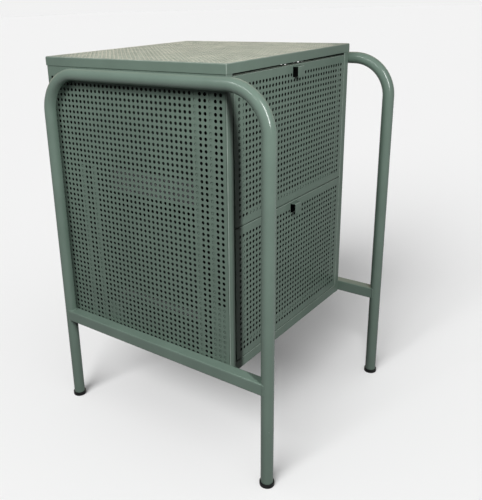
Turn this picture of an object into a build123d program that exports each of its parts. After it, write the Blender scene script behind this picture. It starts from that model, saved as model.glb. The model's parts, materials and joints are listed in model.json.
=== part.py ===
from build123d import *
import os

# Two-drawer filing cabinet of perforated sheet steel, carried between two
# bent tube frames. Millimetres, +Z up, the drawers open towards -Y.
# The origin is on the floor, midway between the four legs.

# Sheet metal body
HEIGHT = 710.0
BODY_WIDTH = 416.0
BODY_DEPTH = 404.0
BODY_CLEARANCE = 182.0
SHEET = 1.0
BEND_OUTSIDE = 2.2
EDGE_FOLD = 17.0
FRONT_RETURN = 14.0
LID_SKIRT = 16.0
LID_FIT_GAP = 0.2
BACK_FIT_GAP = 0.3

# Plain openings that stand for the fine holes of the sides and the lid
SIDE_OPENING_COLUMNS = 10
SIDE_OPENING_ROWS = 12
LID_OPENING_COLUMNS = 12
LID_OPENING_ROWS = 12
OPENING_SHARE = 0.5

# Tube frames
TUBE_DIAMETER = 22.0
TUBE_WALL = 1.5
LEG_SPACING = 474.0
FRAME_BEND = 72.0
FRAME_PANEL_GAP = 0.5
FRAME_LID_GAP = 1.0
STRETCHER_SIZE = 22.0
STRETCHER_WALL = 1.5
COPE_TRIM = 2.0
FOOT_WALL = 2.0
FOOT_HEIGHT = 8.0
FOOT_FLOOR = 3.0
FOOT_EDGE = 0.8
FOOT_FIT_GAP = 0.05

# Screws that hold the body in the frames, with their threaded inserts
FRAME_SCREW_INSET = 50.0
FRAME_SCREW_DIAMETER = 5.0
FRAME_SCREW_HEAD = 9.0
FRAME_SCREW_HEAD_HEIGHT = 2.5
FRAME_SCREW_REACH = 9.0
INSERT_DIAMETER = 7.0
INSERT_FLANGE = 11.0
INSERT_REACH = 10.0
THREAD_GAP = 0.05

# Posts and stiffeners inside the body
FRONT_POST_INSET = 46.3
REAR_POST_INSET = 87.7
POST_CROWN = 20.0
POST_FLANGE = 10.0
POST_DEPTH = 21.8
POST_ABOVE_SLIDE = 3.0
FRONT_PLATE_HEIGHT = 124.0
FRONT_PLATE_GAP = 0.5
STAY_LOW = 26.0
STAY_HEIGHT = 36.0
STAY_POST_GAP = 11.3
STAY_TAB = 10.0
STAY_END_TAB = 6.0
STAY_END_GAP = 0.8
RAIL_HEIGHT = 18.0
RAIL_RETURN = 12.0

# Rivets along the back panel
BACK_RIVETS_PER_SIDE = 4
RIVET_SHANK = 4.0
RIVET_HEAD = 8.0
RIVET_HEAD_HEIGHT = 1.4
RIVET_BULB = 6.0
RIVET_BULB_HEIGHT = 1.8

# Drawers
DRAWER_GAP_TOP = 4.5
DRAWER_GAP_BETWEEN = 2.0
DRAWER_GAP_BOTTOM = 1.5
DRAWER_GAP_SIDE = 2.5
FRONT_EDGE_DEPTH = 13.0
FRONT_CORNER = 1.2
BOX_REAR_CLEARANCE = 53.0
BOX_TOP_DROP = 21.5
BOX_FLANGE = 12.5
UPPER_BOTTOM_RISE = 21.5
LOWER_BOTTOM_RISE = 31.5
BOTTOM_FLANGE = 10.0
BOTTOM_FLANGE_INSET = 22.5

# Finger pulls
PULL_WIDTH = 20.5
PULL_DROP = 2.5
PULL_PLATE = 19.0
PULL_STAND_OFF = 10.5
PULL_SHEET = 1.0
PULL_BEND = 1.5
PULL_SLOT_GAP = 0.3

# Telescopic ball slides
SLIDE_REAR_CLEARANCE = 48.0
SLIDE_HEIGHT = 45.0
SLIDE_THICKNESS = 12.7
SLIDE_SHEET = 1.2
SLIDE_FRONT_INSET = 6.0
SLIDE_ABOVE_EDGE = 45.0
SLIDE_LIP_GAP = 0.8
BALL_DIAMETER = 4.0
BALL_GAP = 0.2
BALLS_PER_ROW = 8
CAGE_SHEET = 0.5
CAGE_GAP = 0.3
CAGE_SHORT = 5.0
BUMPER_LENGTH = 6.5
BUMPER_GAP = 0.5
BUMPER_END = 1.0
SLIDE_SCREW = 4.0
SLIDE_SCREW_HEAD = 6.6
SLIDE_SCREW_REACH = 7.0
SLIDE_NUT_FLATS = 7.0
SLIDE_NUT_HEIGHT = 3.2
SLIDE_RIVET_INSET = 60.0

# Places that follow from the sizes above
TUBE_RADIUS = TUBE_DIAMETER / 2
LID_PROUD = SHEET + LID_FIT_GAP
BODY_SIDE = BODY_WIDTH / 2
BODY_REAR = LEG_SPACING / 2 + TUBE_RADIUS
BODY_FRONT = BODY_REAR - BODY_DEPTH
SKIRT_BOTTOM = HEIGHT - LID_SKIRT
PANEL_TOP = HEIGHT - SHEET
PAN_TOP = BODY_CLEARANCE + 2 * SHEET
FRAME_AXIS_X = BODY_SIDE + FRAME_PANEL_GAP + TUBE_RADIUS
FRAME_TOP_Z = SKIRT_BOTTOM - FRAME_LID_GAP - TUBE_RADIUS
STRETCHER_Z = BODY_CLEARANCE + STRETCHER_SIZE / 2
RAIL_TOP = BODY_CLEARANCE + RAIL_HEIGHT
DRAWER_HEIGHT = (
    SKIRT_BOTTOM - RAIL_TOP - DRAWER_GAP_TOP - DRAWER_GAP_BETWEEN - DRAWER_GAP_BOTTOM
) / 2
DRAWER_SIDE = BODY_SIDE - EDGE_FOLD - DRAWER_GAP_SIDE
DRAWER_LOW = {
    "lower": RAIL_TOP + DRAWER_GAP_BOTTOM,
    "upper": RAIL_TOP + DRAWER_GAP_BOTTOM + DRAWER_HEIGHT + DRAWER_GAP_BETWEEN,
}
BOTTOM_RISE = {"upper": UPPER_BOTTOM_RISE, "lower": LOWER_BOTTOM_RISE}
POST_FACE = BODY_SIDE - SHEET - POST_DEPTH
BOX_SIDE = POST_FACE - SLIDE_THICKNESS
BOX_FRONT = BODY_FRONT + SHEET
BOX_REAR = BODY_REAR - BOX_REAR_CLEARANCE
SLIDE_FRONT = BODY_FRONT + SLIDE_FRONT_INSET
SLIDE_REAR = BODY_REAR - SLIDE_REAR_CLEARANCE
SLIDE_LENGTH = SLIDE_REAR - SLIDE_FRONT
SLIDE_Z = {name: low + SLIDE_ABOVE_EDGE for name, low in DRAWER_LOW.items()}
FRONT_POST_Y = BODY_FRONT + FRONT_POST_INSET
REAR_POST_Y = BODY_REAR - REAR_POST_INSET
FRAME_SCREW_Y = (FRONT_POST_Y + FRAME_SCREW_INSET, REAR_POST_Y - FRAME_SCREW_INSET)
REAR_POST_TOP = SLIDE_Z["upper"] + SLIDE_HEIGHT / 2 + POST_ABOVE_SLIDE


# Helpers

def block(low, high):
    """A box between two opposite corners."""
    size = [b - a for a, b in zip(low, high)]
    middle = [(a + b) / 2 for a, b in zip(low, high)]
    return Pos(*middle) * Box(*size)


def rod(start, direction, radius, length):
    """A cylinder that starts at a point and runs along a direction."""
    plane = Plane(origin=start, z_dir=direction)
    return extrude(plane * Circle(radius), amount=length)


def folded_strip(points, thickness, side, radius=0.0):
    """The section of a bent sheet: a line of points given a thickness on one side."""
    line = FilletPolyline(*points, radius=radius) if radius else Polyline(*points)
    edge = offset(line, amount=thickness, side=side)
    return make_face(edge.edges())


def mirrored(shape):
    """The right-hand copy of a left-hand piece."""
    return mirror(shape, about=Plane.YZ)


def group(shapes):
    """Separate solids that share one node."""
    return Compound(children=[solid for shape in shapes for solid in shape.solids()])


def save(name, shape):
    """Write one node, with its name as the label."""
    shape.label = name
    export_step(shape, os.path.join("parts", name + ".step"))


def save_pair(name, left_shape):
    """Write a left-hand piece and its right-hand copy."""
    save("left_" + name, left_shape)
    save("right_" + name, mirrored(left_shape))


# Tube frames

def frame_screw_places():
    """Height and depth of each screw in a frame, the top run first."""
    return [(y, z) for z in (FRAME_TOP_Z, STRETCHER_Z) for y in FRAME_SCREW_Y]


def insert_holes():
    """Cutters for the threaded inserts, through the frame's inner wall."""
    start_x = -BODY_SIDE
    radius = INSERT_DIAMETER / 2 + THREAD_GAP
    depth = FRAME_PANEL_GAP + TUBE_RADIUS
    return [rod((start_x, y, z), (-1, 0, 0), radius, depth) for y, z in frame_screw_places()]


def frame_tube():
    """Left frame: two legs and the top run, bent from one tube."""
    half = LEG_SPACING / 2
    leg_end = FOOT_FLOOR
    path = FilletPolyline(
        (-FRAME_AXIS_X, -half, leg_end),
        (-FRAME_AXIS_X, -half, FRAME_TOP_Z),
        (-FRAME_AXIS_X, half, FRAME_TOP_Z),
        (-FRAME_AXIS_X, half, leg_end),
        radius=FRAME_BEND,
    )
    start = Plane(origin=(-FRAME_AXIS_X, -half, leg_end), z_dir=(0, 0, 1))
    outside = sweep(start * Circle(TUBE_RADIUS), path=path)
    bore = sweep(start * Circle(TUBE_RADIUS - TUBE_WALL), path=path)
    tube = outside - bore
    for hole in insert_holes():
        tube -= hole
    return tube


def stretcher():
    """Left stretcher: a square tube coped onto both legs, under the side panel."""
    half = LEG_SPACING / 2
    reach = half - COPE_TRIM
    outer = STRETCHER_SIZE / 2
    inner = outer - STRETCHER_WALL
    middle_x = -BODY_SIDE - FRAME_PANEL_GAP - outer
    bar = block(
        (middle_x - outer, -reach, STRETCHER_Z - outer),
        (middle_x + outer, reach, STRETCHER_Z + outer),
    )
    bar -= block(
        (middle_x - inner, -reach, STRETCHER_Z - inner),
        (middle_x + inner, reach, STRETCHER_Z + inner),
    )
    for y in (-half, half):
        bar -= rod((-FRAME_AXIS_X, y, 0), (0, 0, 1), TUBE_RADIUS, HEIGHT)
    for hole in insert_holes():
        bar -= hole
    return bar


def foot_cap(y):
    """Foot cap of a left leg: a cup round the tube's end."""
    centre = (-FRAME_AXIS_X, y, 0)
    cup = rod(centre, (0, 0, 1), TUBE_RADIUS + FOOT_WALL, FOOT_HEIGHT)
    rims = cup.edges().filter_by(GeomType.CIRCLE)
    cup = fillet(rims, FOOT_EDGE)
    seat = (-FRAME_AXIS_X, y, FOOT_FLOOR)
    return cup - rod(seat, (0, 0, 1), TUBE_RADIUS + FOOT_FIT_GAP, FOOT_HEIGHT)


def frame_screw(y, z):
    """Pan-head screw from inside the body into the frame."""
    seat_x = -BODY_SIDE + SHEET
    head = rod((seat_x, y, z), (1, 0, 0), FRAME_SCREW_HEAD / 2, FRAME_SCREW_HEAD_HEIGHT)
    head = fillet(head.edges().sort_by(Axis.X)[-1], FRAME_SCREW_HEAD_HEIGHT / 2)
    shank = rod((seat_x, y, z), (-1, 0, 0), FRAME_SCREW_DIAMETER / 2, SHEET + FRAME_SCREW_REACH)
    return head + shank


def frame_insert(y, z):
    """Threaded insert in the frame, with a flange that fills the gap to the panel."""
    start = (-BODY_SIDE, y, z)
    sleeve = rod(start, (-1, 0, 0), INSERT_DIAMETER / 2, INSERT_REACH)
    if z > STRETCHER_Z:
        run = (-FRAME_AXIS_X, y - INSERT_FLANGE, z)
        flange = rod(start, (-1, 0, 0), INSERT_FLANGE / 2, FRAME_PANEL_GAP + TUBE_WALL)
        flange -= rod(run, (0, 1, 0), TUBE_RADIUS, 2 * INSERT_FLANGE)
    else:
        flange = rod(start, (-1, 0, 0), INSERT_FLANGE / 2, FRAME_PANEL_GAP)
    bore = rod(start, (-1, 0, 0), FRAME_SCREW_DIAMETER / 2 + THREAD_GAP, INSERT_REACH)
    return sleeve + flange - bore


def screw_clearance(cut_shape):
    """The side panel with a hole for each frame screw."""
    radius = FRAME_SCREW_DIAMETER / 2 + THREAD_GAP
    for y, z in frame_screw_places():
        cut_shape -= rod((-BODY_SIDE + SHEET, y, z), (-1, 0, 0), radius, SHEET)
    return cut_shape


def build_frames():
    save_pair("frame_tube", frame_tube())
    save_pair("stretcher", stretcher())
    for place, y in (("front", -LEG_SPACING / 2), ("rear", LEG_SPACING / 2)):
        save_pair(place + "_foot_cap", foot_cap(y))
    screws = [frame_screw(y, z) for y, z in frame_screw_places()]
    inserts = [frame_insert(y, z) for y, z in frame_screw_places()]
    save("frame_screws", group(screws + [mirrored(s) for s in screws]))
    save("frame_inserts", group(inserts + [mirrored(s) for s in inserts]))


# Body panels

def back_rivet_places():
    """Height of each rivet down one edge of the back panel."""
    low = BODY_CLEARANCE + EDGE_FOLD
    high = SKIRT_BOTTOM - EDGE_FOLD
    step = (high - low) / (BACK_RIVETS_PER_SIDE - 1)
    x = BODY_SIDE - EDGE_FOLD / 2
    return [(x, low + step * count) for count in range(BACK_RIVETS_PER_SIDE)]


def opening_cutters(plane, width, height, columns, rows):
    """Cutters for a plain grid of openings in a sheet whose face lies on the plane."""
    pitch_x = width / columns
    pitch_y = height / rows
    opening = Rectangle(pitch_x * OPENING_SHARE, pitch_y * OPENING_SHARE)
    places = GridLocations(pitch_x, pitch_y, columns, rows)
    return extrude(plane * Sketch([place * opening for place in places]), amount=SHEET)


def side_panel():
    """Left side panel: folded at the front, rear, top and bottom, with a grid of openings."""
    inner_edge = -BODY_SIDE + EDGE_FOLD
    section = folded_strip(
        [
            (inner_edge, BODY_REAR),
            (-BODY_SIDE, BODY_REAR),
            (-BODY_SIDE, BODY_FRONT),
            (inner_edge, BODY_FRONT),
            (inner_edge, BODY_FRONT + FRONT_RETURN),
        ],
        SHEET,
        Side.LEFT,
        BEND_OUTSIDE,
    )
    panel = extrude(Pos(0, 0, BODY_CLEARANCE) * section, amount=PANEL_TOP - BODY_CLEARANCE)
    fold_front = BODY_FRONT + FRONT_RETURN + SHEET
    fold_rear = BODY_REAR - BEND_OUTSIDE - SHEET
    for z in (BODY_CLEARANCE, PANEL_TOP - SHEET):
        low = (-BODY_SIDE + SHEET / 2, fold_front, z)
        high = (inner_edge, fold_rear, z + SHEET)
        panel += block(low, high)
    panel = screw_clearance(panel)
    for x, z in back_rivet_places():
        panel -= rod((-x, BODY_REAR, z), (0, -1, 0), RIVET_SHANK / 2 + THREAD_GAP, SHEET)
    low = STRETCHER_Z + STRETCHER_SIZE / 2
    high = FRAME_TOP_Z - TUBE_RADIUS
    middle = (-BODY_SIDE, (BODY_FRONT + BODY_REAR) / 2, (low + high) / 2)
    outer_face = Plane(origin=middle, x_dir=(0, 1, 0), z_dir=(1, 0, 0))
    width = BODY_DEPTH - 2 * EDGE_FOLD
    return panel - opening_cutters(
        outer_face, width, high - low, SIDE_OPENING_COLUMNS, SIDE_OPENING_ROWS
    )


def top_lid():
    """Lid: a shallow tray turned upside down over the body, with a grid of openings."""
    side = BODY_SIDE + LID_PROUD
    front = BODY_FRONT - LID_PROUD
    rear = BODY_REAR + LID_PROUD
    lid = block((-side, front, SKIRT_BOTTOM), (side, rear, HEIGHT))
    upright = lid.edges().filter_by(Axis.Z)
    lid = fillet(upright, BEND_OUTSIDE)
    lid = fillet(lid.faces().sort_by(Axis.Z)[-1].edges(), BEND_OUTSIDE / 2)
    low = (-side + SHEET, front + SHEET, SKIRT_BOTTOM)
    high = (side - SHEET, rear - SHEET, HEIGHT - SHEET)
    hollow = block(low, high)
    hollow = fillet(hollow.edges().filter_by(Axis.Z), BEND_OUTSIDE - SHEET)
    middle_y = (BODY_FRONT + BODY_REAR) / 2
    top_face = Plane(origin=(0, middle_y, HEIGHT), x_dir=(1, 0, 0), z_dir=(0, 0, -1))
    width = BODY_WIDTH - 2 * EDGE_FOLD
    depth = BODY_DEPTH - 2 * EDGE_FOLD
    openings = opening_cutters(top_face, width, depth, LID_OPENING_COLUMNS, LID_OPENING_ROWS)
    return lid - hollow - openings


def back_panel():
    """Back panel: a flat sheet riveted inside the rear folds."""
    side = BODY_SIDE - BEND_OUTSIDE - BACK_FIT_GAP
    bottom = PAN_TOP
    top = PANEL_TOP - SHEET
    rear = BODY_REAR - SHEET
    panel = block((-side, rear - SHEET, bottom), (side, rear, top))
    for x, z in back_rivet_places():
        for place_x in (-x, x):
            hole = RIVET_SHANK / 2 + THREAD_GAP
            panel -= rod((place_x, rear, z), (0, -1, 0), hole, SHEET)
    return panel


def back_rivet(x, z):
    """Blind rivet with its head outside the rear fold."""
    grip = 2 * SHEET
    head = rod((x, BODY_REAR, z), (0, 1, 0), RIVET_HEAD / 2, RIVET_HEAD_HEIGHT)
    head = fillet(head.edges().sort_by(Axis.Y)[-1], RIVET_HEAD_HEIGHT * 0.7)
    shank = rod((x, BODY_REAR, z), (0, -1, 0), RIVET_SHANK / 2, grip)
    bulb = rod((x, BODY_REAR - grip, z), (0, -1, 0), RIVET_BULB / 2, RIVET_BULB_HEIGHT)
    return head + shank + bulb


def bottom_pan():
    """Floor of the body, laid on the bottom folds and the front rail."""
    side = BODY_SIDE - SHEET
    z = BODY_CLEARANCE + SHEET
    pan = block((-side, BODY_FRONT + FRONT_CORNER, z), (side, BODY_REAR - SHEET, PAN_TOP))
    notch_side = BODY_SIDE - EDGE_FOLD - SHEET
    notch_rear = BODY_FRONT + FRONT_RETURN + SHEET
    corner_side = BODY_SIDE - BEND_OUTSIDE
    corner_rear = BODY_REAR - BEND_OUTSIDE
    notch = block((notch_side, BODY_FRONT, z), (BODY_SIDE, notch_rear, PAN_TOP))
    corner = block((corner_side, corner_rear, z), (BODY_SIDE, BODY_REAR, PAN_TOP))
    for cut in (notch, corner):
        pan -= cut
        pan -= mirrored(cut)
    return pan


def front_rail():
    """Bottom rail: a channel between the front folds, under the lower drawer."""
    half = BODY_SIDE - EDGE_FOLD
    back = BODY_FRONT + RAIL_RETURN
    section = folded_strip(
        [
            (back, BODY_CLEARANCE),
            (BODY_FRONT, BODY_CLEARANCE),
            (BODY_FRONT, RAIL_TOP),
            (back, RAIL_TOP),
        ],
        SHEET,
        Side.RIGHT,
        FRONT_CORNER,
    )
    return extrude(Plane.YZ * section, amount=half, both=True)


def hat_post(y, top):
    """Left post: a hat section on the side panel that carries the slides."""
    base_x = -BODY_SIDE + SHEET
    crown_x = -POST_FACE
    half = POST_CROWN / 2
    brim = half + POST_FLANGE
    section = folded_strip(
        [
            (base_x, y - brim),
            (base_x, y - half),
            (crown_x - SHEET, y - half),
            (crown_x - SHEET, y + half),
            (base_x, y + half),
            (base_x, y + brim),
        ],
        SHEET,
        Side.RIGHT,
    )
    post = extrude(Pos(0, 0, PAN_TOP) * section, amount=top - PAN_TOP)
    for z in SLIDE_Z.values():
        start = (crown_x, y, z)
        post -= rod(start, (-1, 0, 0), SLIDE_SCREW / 2 + THREAD_GAP, 2 * SHEET)
    return post


def lower_front_plate():
    """Left plate behind the front corner, beside the lower drawer."""
    x = -BODY_SIDE + SHEET
    front = BODY_FRONT + SHEET + FRONT_PLATE_GAP
    rear = FRONT_POST_Y - POST_CROWN / 2 - POST_FLANGE - FRONT_PLATE_GAP
    clear_bend = BEND_OUTSIDE - SHEET
    low = (x, front + clear_bend, PAN_TOP)
    return block(low, (x + SHEET, rear, PAN_TOP + FRONT_PLATE_HEIGHT))


def side_stay():
    """Left stay: a flat strip from the side panel to the front post."""
    panel_x = -BODY_SIDE + SHEET
    post_wall = FRONT_POST_Y + POST_CROWN / 2 + SHEET
    rear = REAR_POST_Y - POST_CROWN / 2 - POST_FLANGE - STAY_POST_GAP
    far_x = -POST_FACE - STAY_END_GAP - STAY_END_TAB
    section = folded_strip(
        [
            (panel_x, rear),
            (panel_x, rear - STAY_TAB),
            (far_x, post_wall),
            (far_x + STAY_END_TAB, post_wall),
        ],
        SHEET,
        Side.LEFT,
    )
    return extrude(Pos(0, 0, PAN_TOP + STAY_LOW) * section, amount=STAY_HEIGHT)


def build_body():
    save_pair("side_panel", side_panel())
    save("top_lid", top_lid())
    save("back_panel", back_panel())
    rivets = [back_rivet(x, z) for x, z in back_rivet_places()]
    save("back_rivets", group(rivets + [mirrored(r) for r in rivets]))
    save("bottom_pan", bottom_pan())
    save("bottom_front_rail", front_rail())
    save_pair("front_post", hat_post(FRONT_POST_Y, PANEL_TOP - SHEET))
    save_pair("rear_post", hat_post(REAR_POST_Y, REAR_POST_TOP))
    save_pair("lower_front_plate", lower_front_plate())
    save_pair("side_stay", side_stay())


# Drawers

def drawer_front(low):
    """Drawer front: a shallow tray with a slot behind the finger pull."""
    top = low + DRAWER_HEIGHT
    rear = BODY_FRONT + FRONT_EDGE_DEPTH
    front = block((-DRAWER_SIDE, BODY_FRONT, low), (DRAWER_SIDE, rear, top))
    front = fillet(front.faces().sort_by(Axis.Y)[0].edges(), FRONT_CORNER)
    inside = DRAWER_SIDE - SHEET
    front -= block((-inside, BODY_FRONT + SHEET, low + SHEET), (inside, rear, top - SHEET))
    slot_side = PULL_WIDTH / 2 + PULL_SLOT_GAP
    slot_top = top - PULL_DROP + PULL_BEND - PULL_SHEET
    slot_low = top - PULL_DROP - PULL_PLATE
    return front - block((-slot_side, BODY_FRONT, slot_low), (slot_side, BOX_FRONT, slot_top))


def drawer_box(low, floor):
    """Sides and back of a drawer, wrapped from one sheet, with flanges behind the front."""
    top = low + DRAWER_HEIGHT - BOX_TOP_DROP
    lowest = floor - BOTTOM_FLANGE
    flange_edge = BOX_SIDE - BOX_FLANGE
    section = folded_strip(
        [
            (-flange_edge, BOX_FRONT),
            (-BOX_SIDE, BOX_FRONT),
            (-BOX_SIDE, BOX_REAR),
            (BOX_SIDE, BOX_REAR),
            (BOX_SIDE, BOX_FRONT),
            (flange_edge, BOX_FRONT),
        ],
        SHEET,
        Side.RIGHT,
    )
    box = extrude(Pos(0, 0, lowest) * section, amount=top - lowest)
    inside = BOX_SIDE - SHEET
    box -= block((-inside, BOX_FRONT, lowest), (inside, BOX_FRONT + SHEET, floor - SHEET))
    for x, y, z in slide_rivet_places(low):
        hole = RIVET_SHANK / 2 + THREAD_GAP
        box -= rod((x, y, z), (-x, 0, 0), hole, SHEET)
    return box


def drawer_bottom(floor):
    """Bottom of a drawer: a flat sheet with all four edges turned down."""
    side = BOX_SIDE - SHEET
    front = BOX_FRONT + SHEET
    rear = BOX_REAR - SHEET
    lowest = floor - BOTTOM_FLANGE
    sheet = block((-side, front, lowest), (side, rear, floor + SHEET))
    sheet -= block((-side + SHEET, front, lowest), (side - SHEET, rear - SHEET, floor))
    flange_side = BOX_SIDE - BOTTOM_FLANGE_INSET
    return sheet + block((-flange_side, BOX_FRONT, lowest), (flange_side, front, floor + SHEET))


def finger_pull(low):
    """Finger pull: a strip bent out over the slot and down in front of it."""
    top = low + DRAWER_HEIGHT - PULL_DROP
    inner_y = BODY_FRONT + SHEET
    outer_y = BODY_FRONT - PULL_STAND_OFF
    section = folded_strip(
        [
            (inner_y + PULL_SHEET, low + DRAWER_HEIGHT - SHEET),
            (inner_y + PULL_SHEET, top - PULL_SHEET),
            (outer_y + PULL_SHEET, top - PULL_SHEET),
            (outer_y + PULL_SHEET, top - PULL_PLATE),
        ],
        PULL_SHEET,
        Side.RIGHT,
        PULL_BEND,
    )
    return extrude(Plane.YZ * section, amount=PULL_WIDTH / 2, both=True)


def slide_rivet_places(low):
    """Where the slides are riveted to the box sides, on the outer faces."""
    z = low + SLIDE_ABOVE_EDGE
    ends = (SLIDE_FRONT + SLIDE_RIVET_INSET, SLIDE_REAR - SLIDE_RIVET_INSET)
    return [(sign * BOX_SIDE, y, z) for sign in (-1, 1) for y in ends]


def slide_rivet(x, y, z):
    """Blind rivet through the box side and the slide's inner member."""
    out = 1 if x > 0 else -1
    inside_face = x - out * SHEET
    grip = SHEET + SLIDE_SHEET
    head = rod((inside_face, y, z), (-out, 0, 0), RIVET_HEAD / 2, RIVET_HEAD_HEIGHT)
    outermost = head.edges().sort_by(Axis.X)[-1 if out < 0 else 0]
    head = fillet(outermost, RIVET_HEAD_HEIGHT * 0.7)
    shank = rod((inside_face, y, z), (out, 0, 0), RIVET_SHANK / 2, grip)
    bulb_x = inside_face + out * grip
    bulb = rod((bulb_x, y, z), (out, 0, 0), RIVET_BULB / 2, RIVET_BULB_HEIGHT)
    return head + shank + bulb


def build_drawer(name):
    low = DRAWER_LOW[name]
    floor = low + BOTTOM_RISE[name]
    save(name + "_drawer_front", drawer_front(low))
    save(name + "_drawer_box", drawer_box(low, floor))
    save(name + "_drawer_bottom", drawer_bottom(floor))
    save(name + "_finger_pull", finger_pull(low))
    save(name + "_slide_rivets", group(slide_rivet(*place) for place in slide_rivet_places(low)))


# Ball slides, drawn on the left side with x counted from the post towards the box

RACE = BALL_DIAMETER + 2 * BALL_GAP
OUTER_HALF = SLIDE_HEIGHT / 2
MIDDLE_HALF = OUTER_HALF - SLIDE_SHEET - RACE
INNER_HALF = MIDDLE_HALF - SLIDE_SHEET - RACE
OUTER_CAGE_X = SLIDE_SHEET + CAGE_GAP
MIDDLE_X = OUTER_CAGE_X + CAGE_SHEET + CAGE_GAP
INNER_CAGE_X = MIDDLE_X + SLIDE_SHEET + CAGE_GAP
INNER_X = INNER_CAGE_X + CAGE_SHEET + CAGE_GAP
CAGE_LENGTH = SLIDE_LENGTH / 2 - 2 * CAGE_SHORT


def slide_channel(x_web, x_open, half, length):
    """A channel with its web at one depth and its flanges reaching another."""
    front = SLIDE_FRONT
    low = (min(x_web, x_open), front, -half)
    channel = block(low, (max(x_web, x_open), front + length, half))
    inside = half - SLIDE_SHEET
    web_inner = x_web + (SLIDE_SHEET if x_open > x_web else -SLIDE_SHEET)
    far = x_open + (SLIDE_SHEET if x_open > x_web else -SLIDE_SHEET)
    hollow_low = (min(web_inner, far), front, -inside)
    return channel - block(hollow_low, (max(web_inner, far), front + length, inside))


def outer_member():
    """Fixed member, with countersunk holes over the two posts."""
    length = SLIDE_LENGTH + BUMPER_GAP + BUMPER_LENGTH + BUMPER_END
    member = slide_channel(0, SLIDE_THICKNESS - SLIDE_LIP_GAP, OUTER_HALF, length)
    for y in (FRONT_POST_Y, REAR_POST_Y):
        member -= countersink(y)
    return member


def middle_member():
    """Middle member, which travels half as far as the drawer."""
    open_x = SLIDE_THICKNESS - SLIDE_LIP_GAP - CAGE_GAP
    return slide_channel(MIDDLE_X, open_x, MIDDLE_HALF, SLIDE_LENGTH)


def inner_member():
    """Inner member, riveted to the box side."""
    member = slide_channel(SLIDE_THICKNESS, INNER_X, INNER_HALF, SLIDE_LENGTH)
    for y in (SLIDE_FRONT + SLIDE_RIVET_INSET, SLIDE_REAR - SLIDE_RIVET_INSET):
        hole = RIVET_SHANK / 2 + THREAD_GAP
        member -= rod((SLIDE_THICKNESS - SLIDE_SHEET, y, 0), (1, 0, 0), hole, SLIDE_SHEET)
    return member


def ball_cage(x_web, x_open, row_z):
    """Cage of thin strip bent to a channel, with a row of balls in each flange."""
    middle_y = (SLIDE_FRONT + SLIDE_REAR) / 2
    front = middle_y - CAGE_LENGTH / 2
    half = row_z + CAGE_SHEET / 2
    cage = block((x_web, front, -half), (x_open, front + CAGE_LENGTH, half))
    inside = half - CAGE_SHEET
    hollow_low = (x_web + CAGE_SHEET, front, -inside)
    cage -= block(hollow_low, (x_open + CAGE_SHEET, front + CAGE_LENGTH, inside))
    ball_x = (x_web + CAGE_SHEET + x_open) / 2
    step = CAGE_LENGTH / BALLS_PER_ROW
    for count in range(BALLS_PER_ROW):
        for z in (-row_z, row_z):
            cage += Pos(ball_x, front + step * (count + 0.5), z) * Sphere(BALL_DIAMETER / 2)
    return cage


def outer_cage():
    open_x = SLIDE_THICKNESS - SLIDE_LIP_GAP - CAGE_GAP
    return ball_cage(OUTER_CAGE_X, open_x, MIDDLE_HALF + RACE / 2)


def inner_cage():
    open_x = SLIDE_THICKNESS - SLIDE_SHEET - CAGE_GAP
    return ball_cage(INNER_CAGE_X, open_x, INNER_HALF + RACE / 2)


def countersink(y):
    """Cutter for a screw in the outer member's web."""
    head = SLIDE_SCREW_HEAD / 2 + THREAD_GAP
    shank = SLIDE_SCREW / 2 + THREAD_GAP
    return screw_body(y, head, shank, SLIDE_SHEET)


def screw_body(y, head_radius, shank_radius, reach):
    """A countersunk screw from the web's inner face towards the post."""
    cone_height = SLIDE_SHEET * 0.8
    plane = Plane(origin=(SLIDE_SHEET, y, 0), z_dir=(-1, 0, 0))
    cone = loft([
        plane * Circle(head_radius),
        plane.offset(cone_height) * Circle(shank_radius),
    ])
    return cone + extrude(plane * Circle(shank_radius), amount=reach)


def slide_screw(y):
    return screw_body(y, SLIDE_SCREW_HEAD / 2, SLIDE_SCREW / 2, SLIDE_SHEET + SLIDE_SCREW_REACH)


def slide_nut(y):
    """Nut on the screw, inside the post."""
    plane = Plane(origin=(-SHEET, y, 0), z_dir=(-1, 0, 0))
    outline = RegularPolygon(SLIDE_NUT_FLATS / 2, 6, major_radius=False)
    nut = extrude(plane * outline, amount=SLIDE_NUT_HEIGHT)
    return nut - extrude(plane * Circle(SLIDE_SCREW / 2 + THREAD_GAP), amount=SLIDE_NUT_HEIGHT)


def bumper():
    """Bumper block at the rear end of the outer member."""
    front = SLIDE_REAR + BUMPER_GAP
    inside = OUTER_HALF - SLIDE_SHEET
    high_x = SLIDE_THICKNESS - SLIDE_LIP_GAP
    return block((SLIDE_SHEET, front, -inside), (high_x, front + BUMPER_LENGTH, inside))


def build_slides():
    members = {
        "slide_outer": outer_member(),
        "slide_middle": middle_member(),
        "slide_inner": inner_member(),
        "outer_ball_cage": outer_cage(),
        "inner_ball_cage": inner_cage(),
    }
    fasteners = {
        "slide_screws": [slide_screw(FRONT_POST_Y), slide_screw(REAR_POST_Y)],
        "slide_nuts": [slide_nut(FRONT_POST_Y), slide_nut(REAR_POST_Y)],
        "slide_bumpers": [bumper()],
    }
    seats = {name: Pos(-POST_FACE, 0, z) for name, z in SLIDE_Z.items()}
    for name, seat in seats.items():
        for piece, shape in members.items():
            left = seat * shape
            save(name + "_left_" + piece, left)
            save(name + "_right_" + piece, mirrored(left))
    for piece, shapes in fasteners.items():
        left = [seat * shape for seat in seats.values() for shape in shapes]
        save(piece, group(left + [mirrored(shape) for shape in left]))


os.makedirs("parts", exist_ok=True)
build_frames()
build_body()
for drawer in DRAWER_LOW:
    build_drawer(drawer)
build_slides()
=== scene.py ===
import json
import math

import bmesh
import bpy
from mathutils import Matrix, Vector


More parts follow.
